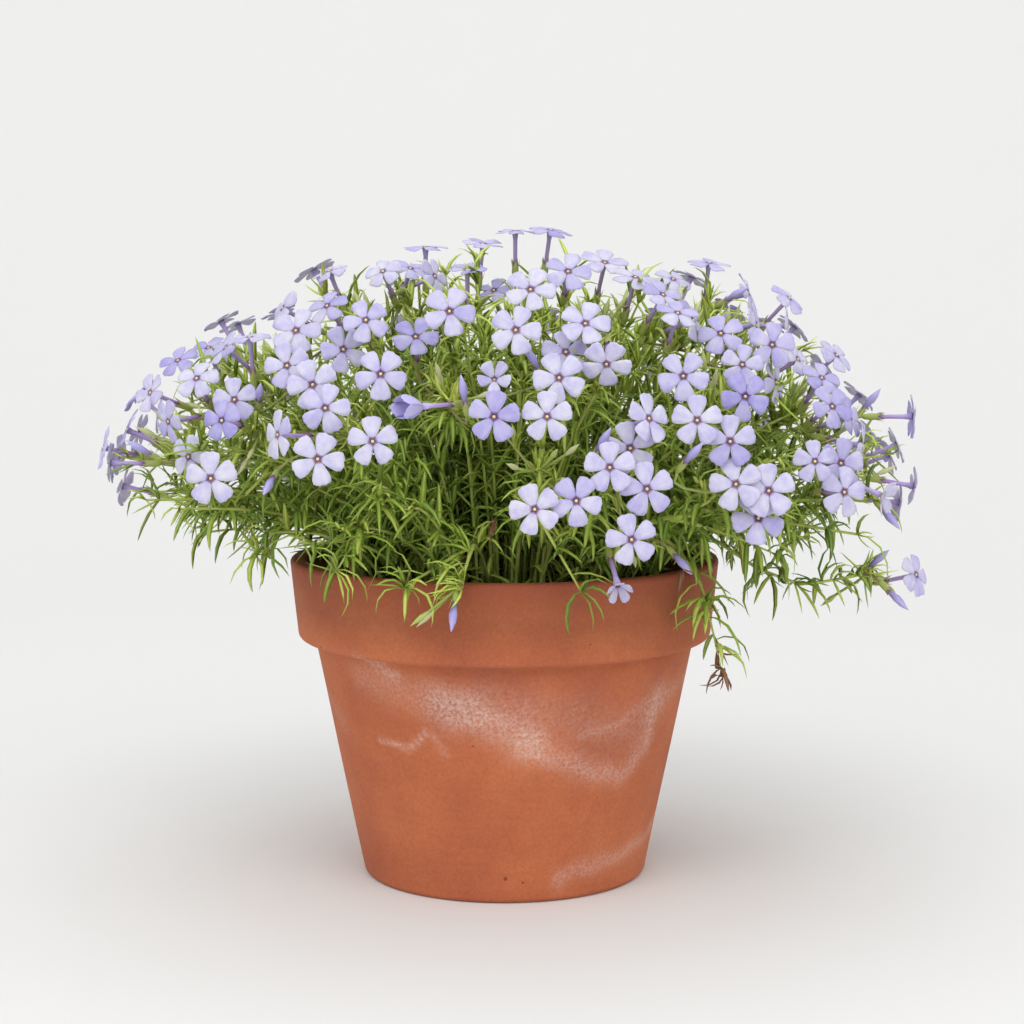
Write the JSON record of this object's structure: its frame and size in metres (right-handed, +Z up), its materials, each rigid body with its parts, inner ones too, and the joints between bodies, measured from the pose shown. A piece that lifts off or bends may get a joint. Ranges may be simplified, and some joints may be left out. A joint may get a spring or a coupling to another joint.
{
  "type": "potted moss phlox",
  "caption": "Low mound of pale violet moss phlox in full flower, with narrow leaves and trailing sprigs, rooted in compost in a round terracotta pot with a deep rim.",
  "frame": {"origin": "centre of the pot's base on the ground, which is the middle of the part's box to about 2 mm", "axes": "+Z up the pot's axis; -Y toward the side where the lip shows between the blooms; +X to the right of that side, the mound's widest way"},
  "size_m": [0.3076, 0.2606, 0.2419],
  "materials": {
    "terracotta": "matte",
    "compost": "matte",
    "foliage": "matte",
    "petals": "matte"
  },
  "bodies": {
    "root": {"pot": "terracotta", "soil": "compost", "flower_spray_01": "petals", "flower_spray_02": "petals", "flower_spray_03": "petals", "flower_spray_04": "petals", "flower_spray_05": "petals", "flower_spray_06": "petals", "flower_spray_07": "petals", "flower_spray_08": "petals", "flower_spray_09": "petals", "flower_spray_10": "petals", "flower_spray_11": "petals", "flower_spray_12": "petals", "flower_spray_13": "petals", "flower_spray_14": "petals", "flower_spray_15": "petals", "flower_spray_16": "petals", "flower_spray_17": "petals", "flower_spray_18": "petals", "flower_spray_19": "petals", "flower_spray_20": "petals", "flower_spray_21": "petals", "flower_spray_22": "petals", "flower_spray_23": "petals", "flower_spray_24": "petals", "flower_spray_25": "petals", "flower_spray_26": "petals", "flower_spray_27": "petals", "flower_spray_28": "petals", "flower_spray_29": "petals", "flower_spray_30": "petals", "flower_spray_31": "petals", "flower_spray_32": "petals", "leafy_stem_01": "foliage", "leafy_stem_02": "foliage", "leafy_stem_03": "foliage", "leafy_stem_04": "foliage", "leafy_stem_05": "foliage", "leafy_stem_06": "foliage", "leafy_stem_07": "foliage", "leafy_stem_08": "foliage", "leafy_stem_09": "foliage", "leafy_stem_10": "foliage", "leafy_stem_11": "foliage", "leafy_stem_12": "foliage", "leafy_stem_13": "foliage", "leafy_stem_14": "foliage", "leafy_stem_15": "foliage", "leafy_stem_16": "foliage", "leafy_stem_17": "foliage", "leafy_stem_18": "foliage", "leafy_stem_19": "foliage", "leafy_stem_20": "foliage", "leafy_stem_21": "foliage", "leafy_stem_22": "foliage", "leafy_stem_23": "foliage", "leafy_stem_24": "foliage", "leafy_stem_25": "foliage"}
  },
  "joints": []
}
